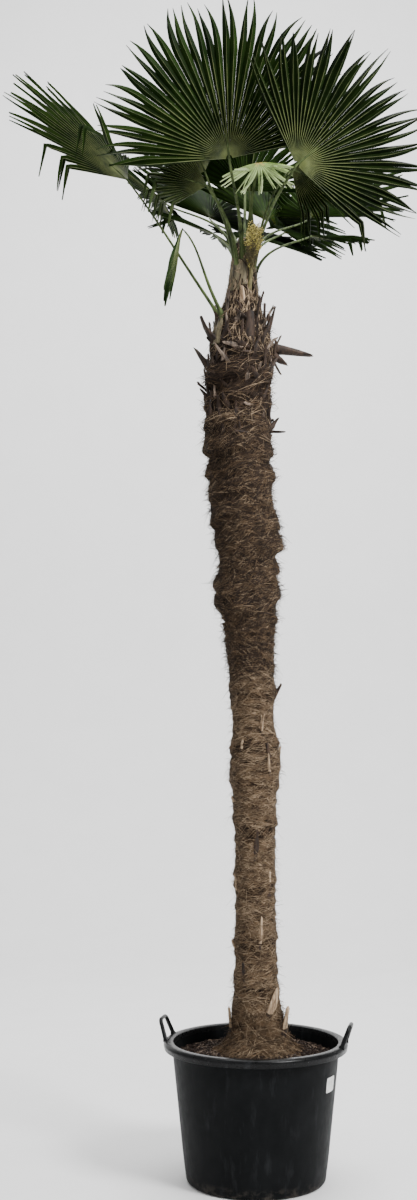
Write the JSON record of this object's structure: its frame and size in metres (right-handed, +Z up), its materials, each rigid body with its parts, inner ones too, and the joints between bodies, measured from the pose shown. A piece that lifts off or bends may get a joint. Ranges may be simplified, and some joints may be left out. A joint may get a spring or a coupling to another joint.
{
  "type": "windmill palm in a nursery tub",
  "caption": "Fan palm with a fibre-wrapped trunk and a crown of pleated fans, standing in a round plastic nursery tub with two loop handles.",
  "frame": {"origin": "middle of the flat underside of the tub", "axes": "+Z up along the trunk, +X to the picture's right, the picture's view looking along +Y"},
  "size_m": [1.5714, 1.2675, 4.1313],
  "materials": {
    "tub": "satin black plastic with grey scuffs",
    "soil": "damp dark brown compost",
    "trunk": "matted brown fibre",
    "leaf": "stiff pleated leaf, half glossy above",
    "flower": "small waxy yellow buds"
  },
  "bodies": {
    "root": {"flower_cluster": "flower", "frond_back_1": "leaf", "frond_back_2": "leaf", "frond_front_high": "leaf", "frond_inner_1": "leaf", "frond_inner_2": "leaf", "frond_left_hanging": "leaf", "frond_left_long": "leaf", "frond_left_low": "leaf", "frond_middle_1": "leaf", "frond_middle_2": "leaf", "frond_middle_right": "leaf", "frond_right_high": "leaf", "frond_right_low": "leaf", "frond_spear": "leaf", "frond_upper_1": "leaf", "frond_upper_2": "leaf", "frond_upper_3": "leaf", "frond_upper_4": "leaf", "handle_left": "tub", "handle_right": "tub", "soil": "soil", "trunk": "trunk", "tub": "tub"}
  },
  "joints": []
}
